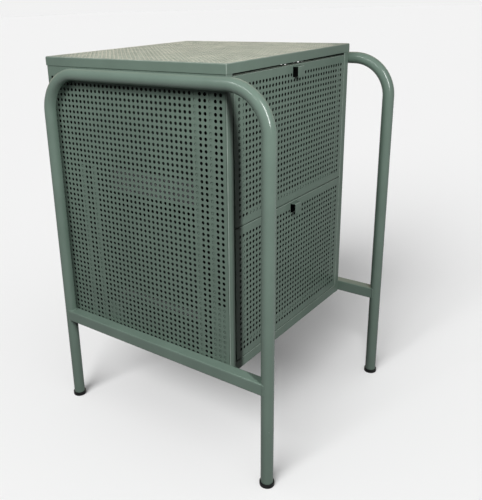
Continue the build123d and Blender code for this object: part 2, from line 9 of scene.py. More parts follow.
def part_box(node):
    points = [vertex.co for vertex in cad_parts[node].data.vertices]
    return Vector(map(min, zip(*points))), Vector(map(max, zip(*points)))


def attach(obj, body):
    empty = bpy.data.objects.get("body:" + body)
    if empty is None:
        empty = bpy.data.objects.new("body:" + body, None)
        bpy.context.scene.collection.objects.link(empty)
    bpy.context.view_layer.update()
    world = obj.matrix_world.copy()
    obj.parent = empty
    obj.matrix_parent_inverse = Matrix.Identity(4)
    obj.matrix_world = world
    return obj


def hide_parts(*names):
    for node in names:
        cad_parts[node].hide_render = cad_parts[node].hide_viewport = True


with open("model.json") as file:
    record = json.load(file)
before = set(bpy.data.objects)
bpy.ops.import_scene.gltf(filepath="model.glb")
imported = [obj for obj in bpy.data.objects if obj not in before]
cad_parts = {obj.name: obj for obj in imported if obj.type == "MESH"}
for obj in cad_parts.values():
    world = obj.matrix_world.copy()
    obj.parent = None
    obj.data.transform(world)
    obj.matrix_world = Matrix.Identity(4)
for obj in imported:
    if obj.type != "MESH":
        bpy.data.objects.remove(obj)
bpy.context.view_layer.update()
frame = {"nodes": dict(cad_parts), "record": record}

# Two-drawer filing cabinet of perforated sheet steel between two tube frames.
# Metres, +Z up, the drawers open towards -Y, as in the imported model.

# Sheet metal; the hold is a short flat that keeps the shading of a bend off the faces beside it
SHEET = 0.001
PANEL_BEND = 0.0022
FRONT_CORNER = 0.0012
FRONT_RETURN = 0.014
BEND_STEPS = 6
BEND_HOLD = 0.0004
SHARP_ANGLE = math.radians(40)

# Points closer than this are one point, on a shell and round a lathed piece's axis
MERGE_DISTANCE = 1e-6
AXIS_DISTANCE = 1e-7

# Perforation: a square pattern of round holes
HOLE_PITCH = 0.010
HOLE_RADIUS = 0.0030
HOLE_SIDES = 12
SIDE_FIRST_HOLE = 0.0113
SIDE_TOP_HOLE = 0.036
SIDE_HOLE_COLUMNS = 39
SIDE_HOLE_ROWS = 48
LID_HOLE_COLUMNS = 41
DRAWER_TOP_HOLE = 0.0165
DRAWER_HOLE_COLUMNS = 36
DRAWER_HOLE_ROWS = 22
SLOT_MARGIN = 0.0008

# Tube frames
TUBE_RADIUS = 0.011
TUBE_WALL = 0.0015
TUBE_SIDES = 64
FRAME_BEND = 0.072
FRAME_BEND_STEPS = 28
TUBE_END = 0.003
STRETCHER_CORNER = 0.0022
STRETCHER_WALL = 0.0015
STRETCHER_FLAT_STEPS = 12
STRETCHER_CORNER_STEPS = 5
COPE_TRIM = 0.002
BEAD_RADIUS = 0.0011
BEAD_SIDES = 8
BEAD_RIPPLE = 0.35
BEAD_RIPPLE_LENGTH = 0.0024
BEAD_STEPS_PER_RIPPLE = 4

# Foot caps
FOOT_FLOOR = 0.003
FOOT_BOTTOM_EDGE = 0.0016
FOOT_TOP_EDGE = 0.0007
FOOT_TOP_STEPS = 4
FOOT_FIT_GAP = 0.00005
FOOT_MOUTH_WIDTH = 0.0002
FOOT_MOUTH_DEPTH = 0.0003
FOOT_SIDES = 56

# Finger pulls
PULL_SHEET = 0.001
PULL_BEND = 0.0015
PULL_DROP = 0.0025
PULL_PLATE = 0.019
PULL_SLOT_GAP = 0.0003
PULL_EDGE = 0.00022
PULL_EDGE_STEPS = 2

# Fasteners
RIVET_SHANK = 0.002
RIVET_HEAD = 0.004
RIVET_HEAD_HEIGHT = 0.0014
RIVET_BULB = 0.003
RIVET_BULB_HEIGHT = 0.0018
RIVET_DIMPLE = 0.0011
RIVET_DIMPLE_FLOOR = 0.0006
RIVET_DIMPLE_FLARE = 1.15
RIVET_RIM_SHARE = 0.25
RIVET_STEPS = 6
SLIDE_SHEET = 0.0012
FASTENER_SIDES = 28
PLACE_DIGITS = 5

# Colours, in linear light
SHEET_GREEN = (0.150, 0.207, 0.170)
FRAME_GREEN = (0.160, 0.225, 0.185)
# Pale green of the worn chips, and also the painted highlight along the bends of the sheet
WEAR_AND_HIGHLIGHT_GREEN = (0.36, 0.41, 0.37)
# Painted shade: a near-black colour put inside the cabinet, on hole walls and on the backs of
# sheets, where shade falls
PAINTED_SHADE_DARK = (0.018, 0.021, 0.019)
FOOT_BLACK = (0.006, 0.006, 0.0065)
ZINC = (0.56, 0.57, 0.58)
BRIGHT_STEEL = (0.66, 0.66, 0.68)
BUMPER_WHITE = (0.70, 0.69, 0.65)
BACKGROUND = (0.887, 0.887, 0.887)
FLOOR_PAPER = (0.79, 0.79, 0.79)
FLOOR_HIDDEN = (0.03, 0.03, 0.03)
WORLD_HIDDEN = (0.015, 0.015, 0.015)
REFLECTED_DIM = (0.25, 0.25, 0.25)
REFLECTED_WARM = (0.70, 0.64, 0.53)
WARM_LIGHT = (1.0, 0.93, 0.78)

# Surface of the paint and the plating: gloss is a share of the shader's full level
SHEET_GLOSS = 0.16
FRAME_GLOSS = 0.45
PLASTIC_GLOSS = 0.25
SHEET_ROUGHNESS = 0.34
INNER_ROUGHNESS = 0.45
FRAME_ROUGHNESS = 0.20

# How far the green enamel reaches into the holes, and the rim at a sheet's edges that stays green;
# past them, hole walls and backs have painted shade
HOLE_GREEN_DEPTH = 0.0003
GREEN_RIM = 0.0025

# How far in from the sides and the front, and from the back, what lies inside keeps the green
# enamel; deeper in, it has the painted shade
GREEN_REACH = 0.0025
GREEN_REACH_REAR = 0.0015

# Floor: its size, its own glow, and the share of it that reflections show
FLOOR_SIZE = 40.0
FLOOR_GLOW = 0.09
FLOOR_REFLECTED = 0.5

# Direction from the photograph's camera past the cabinet, where the warm glow lies
BEHIND_CABINET = (0.784, 0.621, 0.0)

# Body of the cabinet, as packed
side_low, side_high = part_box("left_side_panel")
lid_low, lid_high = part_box("top_lid")
body_front = side_low.y
body_rear = side_high.y
body_side = -side_low.x
inner_edge = -side_high.x


# Node helpers

def add_node(tree, kind, inputs=None, **settings):
    """A node with its settings made and its inputs linked or set."""
    node = tree.nodes.new(kind)
    for name, value in settings.items():
        setattr(node, name, value)
    for name, value in (inputs or {}).items():
        if isinstance(value, bpy.types.NodeSocket):
            tree.links.new(value, node.inputs[name])
        else:
            node.inputs[name].default_value = value
    return node


def sized_tree(name, sizes, takes_geometry=False):
    """An empty Geometry Nodes tree with named inputs."""
    tree = bpy.data.node_groups.new(name, "GeometryNodeTree")
    tree.interface.new_socket("Geometry", in_out="OUTPUT", socket_type="NodeSocketGeometry")
    if takes_geometry:
        tree.interface.new_socket("Geometry", in_out="INPUT", socket_type="NodeSocketGeometry")
    for label, kind in sizes:
        tree.interface.new_socket(label, in_out="INPUT", socket_type="NodeSocket" + kind)
    return tree, add_node(tree, "NodeGroupInput").outputs


def end_tree(tree, geometry, finish):
    """The last two nodes of every tree: real geometry, then its finish."""
    real = add_node(tree, "GeometryNodeRealizeInstances", {"Geometry": geometry})
    painted = add_node(
        tree, "GeometryNodeSetMaterial", {"Geometry": real.outputs[0], "Material": finish}
    )
    add_node(tree, "NodeGroupOutput", {"Geometry": painted.outputs[0]})
    return tree


def calculate(tree, kind, first, second=0.0):
    """One step of arithmetic on one or two values."""
    return add_node(tree, "ShaderNodeMath", {0: first, 1: second}, operation=kind).outputs[0]


def multiply_add(tree, value, factor, offset):
    """A value scaled by a factor, with an offset added."""
    inputs = {0: value, 1: factor, 2: offset}
    return add_node(tree, "ShaderNodeMath", inputs, operation="MULTIPLY_ADD").outputs[0]


def joined_parts(tree, parts):
    """Several geometries as one."""
    join = add_node(tree, "GeometryNodeJoinGeometry")
    for part in parts:
        tree.links.new(part, join.inputs[0])
    return join.outputs[0]


def grown(tree, values, base=None):
    """The plain mesh that a tree makes from its named values."""
    base_mesh = base or bpy.data.meshes.new(tree.name + "_base")
    maker = bpy.data.objects.new(tree.name + "_maker", base_mesh)
    bpy.context.scene.collection.objects.link(maker)
    modifier = maker.modifiers.new("nodes", "NODES")
    modifier.node_group = tree
    for item in tree.interface.items_tree:
        if item.in_out == "INPUT" and item.name in values:
            modifier[item.identifier] = values[item.name]
    maker.update_tag()
    depsgraph = bpy.context.evaluated_depsgraph_get()
    mesh = bpy.data.meshes.new_from_object(maker.evaluated_get(depsgraph), depsgraph=depsgraph)
    maker.modifiers.remove(modifier)
    bpy.data.objects.remove(maker)
    bpy.data.meshes.remove(base_mesh)
    return mesh


# Geometry Nodes trees

def meets_slot(tree, given):
    """One where a hole would meet the slot, and zero elsewhere."""
    position = add_node(tree, "GeometryNodeInputPosition").outputs[0]
    place = add_node(tree, "ShaderNodeSeparateXYZ", {0: position}).outputs
    rise = calculate(tree, "SUBTRACT", place["Y"], given["Slot Middle"])
    clear = calculate(tree, "ADD", given["Hole Radius"], given["Slot Margin"])
    meets = given["Slotted"]
    for offset, size in ((place["X"], "Slot Width"), (rise, "Slot Height")):
        reach = multiply_add(tree, given[size], 0.5, clear)
        near = calculate(tree, "LESS_THAN", calculate(tree, "ABSOLUTE", offset), reach)
        meets = calculate(tree, "MULTIPLY", meets, near)
    return meets


def hole_places(tree, given):
    """Middles of the holes, in a grid, without those that would meet the slot."""
    spans = [
        calculate(tree, "MULTIPLY", given["Pitch"], calculate(tree, "SUBTRACT", given[count], 1))
        for count in ("Columns", "Rows")
    ]
    grid = add_node(tree, "GeometryNodeMeshGrid", {
        "Size X": spans[0],
        "Size Y": spans[1],
        "Vertices X": given["Columns"],
        "Vertices Y": given["Rows"],
    })
    middles = [
        multiply_add(tree, span, 0.5, given[first])
        for span, first in zip(spans, ("First Column", "First Row"))
    ]
    shift = add_node(tree, "ShaderNodeCombineXYZ", {"X": middles[0], "Y": middles[1]})
    places = add_node(tree, "GeometryNodeTransform", {
        "Geometry": grid.outputs["Mesh"],
        "Translation": shift.outputs[0],
    })
    kept = add_node(
        tree,
        "GeometryNodeDeleteGeometry",
        {"Geometry": places.outputs[0], "Selection": meets_slot(tree, given)},
        domain="POINT",
    )
    return kept.outputs[0]


def hole_outlines(tree, given):
    """A circle at each of the holes."""
    circle = add_node(tree, "GeometryNodeCurvePrimitiveCircle", {
        "Resolution": given["Hole Sides"],
        "Radius": given["Hole Radius"],
    })
    holes = add_node(tree, "GeometryNodeInstanceOnPoints", {
        "Points": hole_places(tree, given),
        "Instance": circle.outputs["Curve"],
    })
    return holes.outputs[0]


def slot_outline(tree, given):
    """A rectangle for the slot, or nothing where the sheet has none."""
    slot = add_node(tree, "GeometryNodeCurvePrimitiveQuadrilateral", {
        "Width": given["Slot Width"],
        "Height": given["Slot Height"],
    })
    shift = add_node(tree, "ShaderNodeCombineXYZ", {"Y": given["Slot Middle"]})
    moved = add_node(tree, "GeometryNodeTransform", {
        "Geometry": slot.outputs[0],
        "Translation": shift.outputs[0],
    })
    slot_or_none = add_node(
        tree,
        "GeometryNodeSwitch",
        {"Switch": given["Slotted"], "True": moved.outputs[0]},
        input_type="GEOMETRY",
    )
    return slot_or_none.outputs[0]


def perforated_sheet_tree():
    """A flat sheet with a grid of punched holes, and with one slot if it is slotted."""
    tree, given = sized_tree("perforated_sheet", [
        ("Width", "Float"),
        ("Height", "Float"),
        ("Thickness", "Float"),
        ("Pitch", "Float"),
        ("Hole Radius", "Float"),
        ("Hole Sides", "Int"),
        ("Columns", "Int"),
        ("Rows", "Int"),
        ("First Column", "Float"),
        ("First Row", "Float"),
        ("Slotted", "Bool"),
        ("Slot Width", "Float"),
        ("Slot Height", "Float"),
        ("Slot Middle", "Float"),
        ("Slot Margin", "Float"),
        ("Finish", "Material"),
    ])
    edge = add_node(tree, "GeometryNodeCurvePrimitiveQuadrilateral", {
        "Width": given["Width"],
        "Height": given["Height"],
    })
    outlines = [hole_outlines(tree, given), edge.outputs[0], slot_outline(tree, given)]
    real = add_node(
        tree, "GeometryNodeRealizeInstances", {"Geometry": joined_parts(tree, outlines)}
    )
    face = add_node(tree, "GeometryNodeFillCurve", {"Curve": real.outputs[0]})
    raised = add_node(tree, "GeometryNodeExtrudeMesh", {
        "Mesh": face.outputs[0],
        "Offset Scale": given["Thickness"],
        "Individual": False,
    })
    underside = add_node(tree, "GeometryNodeFlipFaces", {"Mesh": face.outputs[0]})
    welded = add_node(tree, "GeometryNodeMergeByDistance", {
        "Geometry": joined_parts(tree, [raised.outputs[0], underside.outputs[0]]),
        "Distance": MERGE_DISTANCE,
    })
    return end_tree(tree, welded.outputs[0], given["Finish"])


def weld_bead_tree():
    """A rippled bead of weld along a closed line."""
    tree, given = sized_tree(
        "weld_bead",
        [
            ("Bead Radius", "Float"),
            ("Ripple", "Float"),
            ("Ripple Length", "Float"),
            ("Finish", "Material"),
        ],
        takes_geometry=True,
    )
    line = add_node(tree, "GeometryNodeMeshToCurve", {"Mesh": given["Geometry"]})
    spacing = calculate(tree, "DIVIDE", given["Ripple Length"], BEAD_STEPS_PER_RIPPLE)
    even = add_node(tree, "GeometryNodeResampleCurve", {
        "Curve": line.outputs[0],
        "Length": spacing,
    }, mode="LENGTH")
    scale = calculate(tree, "DIVIDE", 1.0, given["Ripple Length"])
    uneven = add_node(tree, "ShaderNodeTexNoise", {"Scale": scale, "Detail": 1.0})
    swing = calculate(tree, "SUBTRACT", uneven.outputs[0], 0.5)
    swell = multiply_add(tree, swing, given["Ripple"], 1.0)
    radius = calculate(tree, "MULTIPLY", swell, given["Bead Radius"])
    ring = add_node(tree, "GeometryNodeCurvePrimitiveCircle", {
        "Resolution": BEAD_SIDES,
        "Radius": 1.0,
    })
    bead = add_node(tree, "GeometryNodeCurveToMesh", {
        "Curve": even.outputs[0],
        "Profile Curve": ring.outputs["Curve"],
        "Scale": radius,
    })
    return end_tree(tree, bead.outputs[0], given["Finish"])


def fastener_tree():
    """One fastener set at every point, turned so that its head faces outwards."""
    tree, given = sized_tree(
        "fasteners",
        [("Fastener", "Object"), ("Turn", "Rotation"), ("Finish", "Material")],
        takes_geometry=True,
    )
    pattern = add_node(tree, "GeometryNodeObjectInfo", {"Object": given["Fastener"]})
    copies = add_node(tree, "GeometryNodeInstanceOnPoints", {
        "Points": given["Geometry"],
        "Instance": pattern.outputs["Geometry"],
        "Rotation": given["Turn"],
    })
    return end_tree(tree, copies.outputs[0], given["Finish"])


# Mesh helpers

def joined(meshes):
    """Separate shells as one mesh."""
    shells = bmesh.new()
    for mesh in meshes:
        shells.from_mesh(mesh)
    result = bpy.data.meshes.new("shells")
    shells.to_mesh(result)
    shells.free()
    return result


def outward(shell):
    """A closed shell as a mesh, with its doubles merged and its faces outwards."""
    bmesh.ops.remove_doubles(shell, verts=shell.verts, dist=MERGE_DISTANCE)
    bmesh.ops.recalc_face_normals(shell, faces=shell.faces)
    mesh = bpy.data.meshes.new("shell")
    shell.to_mesh(mesh)
    shell.free()
    return mesh


def standing(mesh, origin, across, up):
    """The mesh with its own X, Y and Z turned to across, up and outwards, moved to its origin."""
    across = Vector(across)
    up = Vector(up)
    turn = Matrix((across, up, across.cross(up))).transposed().to_4x4()
    mesh.transform(Matrix.Translation(Vector(origin)) @ turn)
    return mesh


def mirrored(mesh):
    """The right-hand copy of a left-hand mesh."""
    copy = mesh.copy()
    copy.transform(Matrix.Scale(-1, 4, (1, 0, 0)))
    copy.flip_normals()
    return copy


def place_piece(name, mesh, finish, body, node):
    """Show a finished mesh on its body, instead of the node that it stands for."""
    mesh.materials.clear()
    mesh.materials.append(finish)
    mesh.polygons.foreach_set("material_index", [0] * len(mesh.polygons))
    mesh.polygons.foreach_set("use_smooth", [True] * len(mesh.polygons))
    mesh.set_sharp_from_angle(angle=SHARP_ANGLE)
    mesh.update()
    mesh.name = name
    piece = bpy.data.objects.new(name, mesh)
    bpy.context.scene.collection.objects.link(piece)
    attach(piece, body)
    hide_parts(node)


def join_rings(shell, near, far):
    """Faces all the way round between two rings of as many points."""
    count = len(near)
    for index in range(count):
        following = (index + 1) % count
        shell.faces.new((near[index], near[following], far[following], far[index]))


def lofted(rings):
    """A closed shell through rings of points, from the last ring back to the first."""
    shell = bmesh.new()
    grid = [[shell.verts.new(point) for point in ring] for ring in rings]
    for near, far in zip(grid, grid[1:] + grid[:1]):
        join_rings(shell, near, far)
    return outward(shell)


def lathed(profile, sides):
    """A closed profile of radius and height turned round Z; a radius of zero closes on the axis."""
    turns = [2 * math.pi * step / sides for step in range(sides)]
    shell = bmesh.new()
    grid = [
        [shell.verts.new((radius * math.cos(a), radius * math.sin(a), height)) for a in turns]
        for radius, height in profile
    ]
    for near, far in zip(grid, grid[1:]):
        join_rings(shell, near, far)
    bmesh.ops.remove_doubles(shell, verts=shell.verts, dist=AXIS_DISTANCE)
    bmesh.ops.dissolve_degenerate(shell, edges=shell.edges, dist=AXIS_DISTANCE)
    return outward(shell)


def quarter_arc(centre, radius, start, steps):
    """Points of a quarter circle in a profile, anticlockwise from a start angle in degrees."""
    points = []
    for step in range(steps + 1):
        angle = math.radians(start + 90 * step / steps)
        points.append((centre[0] + radius * math.cos(angle), centre[1] + radius * math.sin(angle)))
    return points


def bent_section(points, sheet, bend, side):
    """Section of a folded sheet: two matching lines, one for each face of the sheet."""
    points = [Vector(point) for point in points]
    face = []
    back = []
    for index, corner in enumerate(points):
        into = (corner - points[index - 1]).normalized() if index else None
        out = (points[index + 1] - corner).normalized() if index + 1 < len(points) else None
        along = into or out
        normal = Vector((-along.y, along.x)) * side
        if into is None or out is None:
            face.append(corner)
            back.append(corner + normal * sheet)
            continue
        inward = out.dot(normal) > 0
        face_bend = bend if inward else bend - sheet
        back_bend = face_bend - sheet if inward else face_bend + sheet
        centre = corner + (out - into) * face_bend
        for step in range(-1, BEND_STEPS + 2):
            angle = math.radians(90) * min(max(step, 0), BEND_STEPS) / BEND_STEPS
            spoke = into * math.sin(angle) - out * math.cos(angle)
            hold = Vector((0, 0))
            if step < 0:
                hold = -into * BEND_HOLD
            elif step > BEND_STEPS:
                hold = out * BEND_HOLD
            face.append(centre + spoke * face_bend + hold)
            back.append(centre + spoke * back_bend + hold)
    return face, back


def folded_sheet(section, low, high, to_space):
    """A folded sheet along its bends, from low to high.

    to_space turns a point of the section and a reach along the bends into a place.
    """
    face, back = section
    outline = face + back[::-1]
    shell = bmesh.new()
    ends = [[shell.verts.new(to_space(point, reach)) for point in outline] for reach in (low, high)]
    join_rings(shell, *ends)
    for index in range(len(face) - 1):
        other = len(outline) - 1 - index
        for end in ends:
            shell.faces.new((end[index], end[index + 1], end[other - 1], end[other]))
    return outward(shell)


def flat_bar(low, high):
    """A flat strip of sheet between two opposite corners."""
    shell = bmesh.new()
    bmesh.ops.create_cube(shell, size=1)
    low = Vector(low)
    high = Vector(high)
    size = high - low
    middle = (low + high) / 2
    for vert in shell.verts:
        vert.co = Vector(a * b for a, b in zip(vert.co, size)) + middle
    return outward(shell)


def tray_rim(half_width, half_height, bend, depth):
    """The folded edge round a tray's flat face: the face at height 0, the skirt downwards."""
    arc = [math.radians(90) * step / BEND_STEPS for step in range(BEND_STEPS + 1)]
    inner = bend - SHEET
    outside = [(bend * math.sin(a), bend * math.cos(a) - bend) for a in arc]
    inside = [(inner * math.sin(a), inner * math.cos(a) - bend) for a in reversed(arc)]
    hold = bend + BEND_HOLD
    profile = outside + [(bend, -hold), (bend, -depth), (inner, -depth), (inner, -hold)] + inside
    rings = []
    for outset, height in profile:
        ring = []
        for corner in range(4):
            sign_x = 1 if corner in (0, 3) else -1
            sign_y = 1 if corner in (0, 1) else -1
            for step in range(BEND_STEPS + 1):
                angle = math.radians(90) * (corner + step / BEND_STEPS)
                ring.append((
                    sign_x * half_width + outset * math.cos(angle),
                    sign_y * half_height + outset * math.sin(angle),
                    height,
                ))
        rings.append(ring)
    return lofted(rings)


def perforated_face(width, height, holes):
    """A flat perforated sheet round the origin, with the columns and rows that holes gives."""
    return grown(perforated_sheet, {
        "Width": width,
        "Height": height,
        "Thickness": SHEET,
        "Pitch": HOLE_PITCH,
        "Hole Radius": HOLE_RADIUS,
        "Hole Sides": HOLE_SIDES,
        "Slot Margin": SLOT_MARGIN,
        **holes,
    })


def tray(half_width, half_height, bend, depth, holes):
    """A perforated face with its folded rim, drawn flat with its face at height 0."""
    flat_width = half_width - bend
    flat_height = half_height - bend
    face = perforated_face(2 * flat_width, 2 * flat_height, holes)
    face.transform(Matrix.Translation((0, 0, -SHEET)))
    return joined([face, tray_rim(flat_width, flat_height, bend, depth)])


# Finishes

def shader(name, base, metallic, roughness, gloss=0.5):
    """A material with its plain values on the shader's own sockets."""
    material = bpy.data.materials.new(name)
    material.use_nodes = True
    tree = material.node_tree
    surface = tree.nodes["Principled BSDF"]
    surface.inputs["Base Color"].default_value = (*base, 1)
    surface.inputs["Metallic"].default_value = metallic
    surface.inputs["Roughness"].default_value = roughness
    surface.inputs["Specular IOR Level"].default_value = gloss
    place = add_node(tree, "ShaderNodeTexCoord").outputs["Object"]
    return material, tree, surface, place


def noise(tree, place, scale, detail=2.0, roughness=0.5):
    """Soft random values between zero and one."""
    return add_node(tree, "ShaderNodeTexNoise", {
        "Vector": place,
        "Scale": scale,
        "Detail": detail,
        "Roughness": roughness,
    }).outputs[0]


def ranged(tree, value, low, high, new_low=0.0, new_high=1.0):
    """A value between low and high, spread from new_low to new_high and held there."""
    return add_node(tree, "ShaderNodeMapRange", {
        "Value": value,
        "From Min": low,
        "From Max": high,
        "To Min": new_low,
        "To Max": new_high,
    }).outputs[0]


def mixed_colour(tree, share, first, second):
    """The first colour where the share is zero, the second where it is one."""
    colours = [
        colour if isinstance(colour, bpy.types.NodeSocket) else (*colour, 1)
        for colour in (first, second)
    ]
    inputs = {0: share, 6: colours[0], 7: colours[1]}
    return add_node(tree, "ShaderNodeMix", inputs, data_type="RGBA").outputs[2]


def tinted(base, factor):
    """A plain colour made paler or darker."""
    return tuple(channel * factor for channel in base)


def bumped(tree, surface, height, strength, distance):
    """Fine relief on a surface."""
    bump = add_node(tree, "ShaderNodeBump", {
        "Height": height,
        "Strength": strength,
        "Distance": distance,
    })
    tree.links.new(bump.outputs[0], surface.inputs["Normal"])


def enamel(name, base, roughness, gloss):
    """Old sprayed enamel: slightly uneven colour, orange peel and a few small chips."""
    material, tree, surface, place = shader(name, base, 0.0, roughness, gloss)
    clouds = ranged(tree, noise(tree, place, scale=9.0, detail=4.0, roughness=0.6), 0.3, 0.7)
    colour = mixed_colour(tree, clouds, tinted(base, 0.92), tinted(base, 1.07))
    specks = add_node(tree, "ShaderNodeTexVoronoi", {"Vector": place, "Scale": 45.0})
    speck_middles = ranged(tree, specks.outputs["Distance"], 0.02, 0.035, 1.0, 0.0)
    chipped_areas = ranged(tree, noise(tree, place, scale=7.0), 0.66, 0.70)
    chips = calculate(tree, "MULTIPLY", speck_middles, chipped_areas)
    colour = mixed_colour(tree, chips, colour, WEAR_AND_HIGHLIGHT_GREEN)
    wear = noise(tree, place, scale=30.0, detail=3.0)
    noise_shaped = ranged(tree, wear, 0.3, 0.7, roughness - 0.04, roughness + 0.06)
    tree.links.new(noise_shaped, surface.inputs["Roughness"])
    peel = noise(tree, place, scale=420.0, detail=1.0)
    waves = noise(tree, place, scale=60.0, detail=1.0)
    height = multiply_add(tree, waves, 1.5, peel)
    chipped = calculate(tree, "SUBTRACT", height, chips)
    bumped(tree, surface, chipped, strength=0.20, distance=0.0002)
    tree.links.new(colour, surface.inputs["Base Color"])
    return material, tree, surface, place, colour


def largest(tree, values):
    """The largest of several values."""
    result = values[0]
    for value in values[1:]:
        result = calculate(tree, "MAXIMUM", result, value)
    return result


def inside_box(tree, place, half_width, depths, heights):
    """One inside a box and zero outside it; the box is as wide to the left as to the right."""
    parts = add_node(tree, "ShaderNodeSeparateXYZ", {0: place}).outputs
    outwards = calculate(tree, "ABSOLUTE", parts["X"])
    inside = calculate(tree, "LESS_THAN", outwards, half_width)
    for value, (low, high) in ((parts["Y"], depths), (parts["Z"], heights)):
        for kind, limit in (("GREATER_THAN", low), ("LESS_THAN", high)):
            inside = calculate(tree, "MULTIPLY", inside, calculate(tree, kind, value, limit))
    return inside


def sheet_paint(name, painted_shade_box=None):
    """Enamel on folded sheet, with a painted highlight in pale patches along the folds, and painted
    shade in dark primer inside a box.
    """
    material, tree, surface, place, colour = enamel(
        name, SHEET_GREEN, SHEET_ROUGHNESS, SHEET_GLOSS
    )
    # Painted highlight: where the normal leans away from the axes, on the bends, the colour turns
    # pale green in broken patches
    facing = add_node(tree, "ShaderNodeNewGeometry").outputs["Normal"]
    parts = add_node(tree, "ShaderNodeSeparateXYZ", {0: facing}).outputs
    sizes = [calculate(tree, "ABSOLUTE", part) for part in parts]
    bend_highlight = ranged(tree, largest(tree, sizes), 0.80, 0.93, 1.0, 0.0)
    highlight_patches = ranged(tree, noise(tree, place, scale=55.0, detail=3.0), 0.35, 0.65, 0.35, 0.8)
    noise_shaped = calculate(tree, "MULTIPLY", bend_highlight, highlight_patches)
    colour = mixed_colour(tree, noise_shaped, colour, WEAR_AND_HIGHLIGHT_GREEN)
    # Painted shade: inside the box the colour is near-black, which darkens the hole walls and the
    # back of the sheet
    if painted_shade_box:
        colour = mixed_colour(tree, inside_box(tree, place, **painted_shade_box), colour, PAINTED_SHADE_DARK)
    tree.links.new(colour, surface.inputs["Base Color"])
    return material


def inner_paint(name):
    """Painted shade inside: a near-black colour, with the green enamel only near the sides, front
    and back, close behind the holes.
    """
    material, tree, surface, place, colour = enamel(
        name, SHEET_GREEN, INNER_ROUGHNESS, SHEET_GLOSS
    )
    # Painted shade: green near the sides, front and back, near-black everywhere deeper inside
    parts = add_node(tree, "ShaderNodeSeparateXYZ", {0: place}).outputs
    outwards = calculate(tree, "ABSOLUTE", parts["X"])
    sprayed = largest(tree, [
        calculate(tree, "GREATER_THAN", outwards, body_side - GREEN_REACH),
        calculate(tree, "LESS_THAN", parts["Y"], body_front + GREEN_REACH),
        calculate(tree, "GREATER_THAN", parts["Y"], body_rear - GREEN_REACH_REAR),
    ])
    shaded_interior_colour = mixed_colour(tree, sprayed, PAINTED_SHADE_DARK, colour)
    tree.links.new(shaded_interior_colour, surface.inputs["Base Color"])
    return material


def moulded_plastic(name, base, roughness):
    """Plastic with a fine grain, scuffed a little paler."""
    material, tree, surface, place = shader(name, base, 0.0, roughness, PLASTIC_GLOSS)
    scuffs = ranged(tree, noise(tree, place, scale=70.0, detail=3.0), 0.45, 0.7)
    worn = tuple(channel * 1.6 + 0.01 for channel in base)
    tree.links.new(mixed_colour(tree, scuffs, base, worn), surface.inputs["Base Color"])
    bumped(tree, surface, noise(tree, place, scale=900.0), strength=0.3, distance=0.0001)
    return material


def plated_steel(name, base, roughness, brush):
    """Bright plating with faint rolling marks along the length and cloudy passivation."""
    material, tree, surface, place = shader(name, base, 1.0, roughness)
    stretched = add_node(tree, "ShaderNodeMapping", {"Vector": place, "Scale": (1.0, brush, 1.0)})
    lines = noise(tree, stretched.outputs[0], scale=700.0)
    clouds = ranged(tree, noise(tree, place, scale=25.0, detail=3.0), 0.3, 0.7)
    colour = mixed_colour(tree, clouds, tinted(base, 0.8), base)
    tree.links.new(colour, surface.inputs["Base Color"])
    noise_shaped = ranged(tree, lines, 0.3, 0.7, roughness - 0.06, roughness + 0.08)
    tree.links.new(noise_shaped, surface.inputs["Roughness"])
    bumped(tree, surface, lines, strength=0.15, distance=0.00005)
    return material


sheet_enamel = sheet_paint("sheet_enamel")
inner_enamel = inner_paint("inner_enamel")
frame_enamel = enamel("frame_enamel", FRAME_GREEN, FRAME_ROUGHNESS, FRAME_GLOSS)[0]
foot_plastic = moulded_plastic("foot_plastic", FOOT_BLACK, roughness=0.45)
bumper_plastic = moulded_plastic("bumper_plastic", BUMPER_WHITE, roughness=0.5)
slide_steel = plated_steel("slide_steel", ZINC, roughness=0.32, brush=0.05)
ball_steel = plated_steel("ball_steel", BRIGHT_STEEL, roughness=0.16, brush=1.0)
zinc_fastener = plated_steel("zinc_fastener", ZINC, roughness=0.36, brush=1.0)

perforated_sheet = perforated_sheet_tree()
weld_bead = weld_bead_tree()
fasteners = fastener_tree()


# Body panels

def plan_to_space(point, height):
    """A point of a section in plan, at a height."""
    return (point.x, point.y, height)


def left_side_panel():
    """Left side: a perforated face between folded front and rear edges."""
    flat_front = body_front + PANEL_BEND
    flat_rear = body_rear - PANEL_BEND
    bottom = side_low.z
    top = side_high.z
    middle_y = (flat_front + flat_rear) / 2
    middle_z = (bottom + top) / 2
    first_column = middle_y - (body_front + SIDE_FIRST_HOLE) - (SIDE_HOLE_COLUMNS - 1) * HOLE_PITCH
    first_row = top - SIDE_TOP_HOLE - (SIDE_HOLE_ROWS - 1) * HOLE_PITCH - middle_z
    face = perforated_face(flat_rear - flat_front, top - bottom, {
        "Columns": SIDE_HOLE_COLUMNS,
        "Rows": SIDE_HOLE_ROWS,
        "First Column": first_column,
        "First Row": first_row,
    })
    standing(face, (-body_side + SHEET, middle_y, middle_z), (0, -1, 0), (0, 0, 1))
    front_line = [
        (-body_side, flat_front),
        (-body_side, body_front),
        (-inner_edge, body_front),
        (-inner_edge, body_front + FRONT_RETURN),
    ]
    rear_line = [(-inner_edge, body_rear), (-body_side, body_rear), (-body_side, flat_rear)]
    folds = [
        folded_sheet(bent_section(line, SHEET, PANEL_BEND, 1), bottom, top, plan_to_space)
        for line in (front_line, rear_line)
    ]
    inside_x = -body_side + SHEET
    strip_front = body_front + FRONT_RETURN + SHEET
    strip_rear = body_rear - PANEL_BEND - SHEET
    strips = [
        flat_bar((inside_x, strip_front, z), (-inner_edge, strip_rear, z + SHEET))
        for z in (bottom, top - SHEET)
    ]
    return joined([face, *folds, *strips])


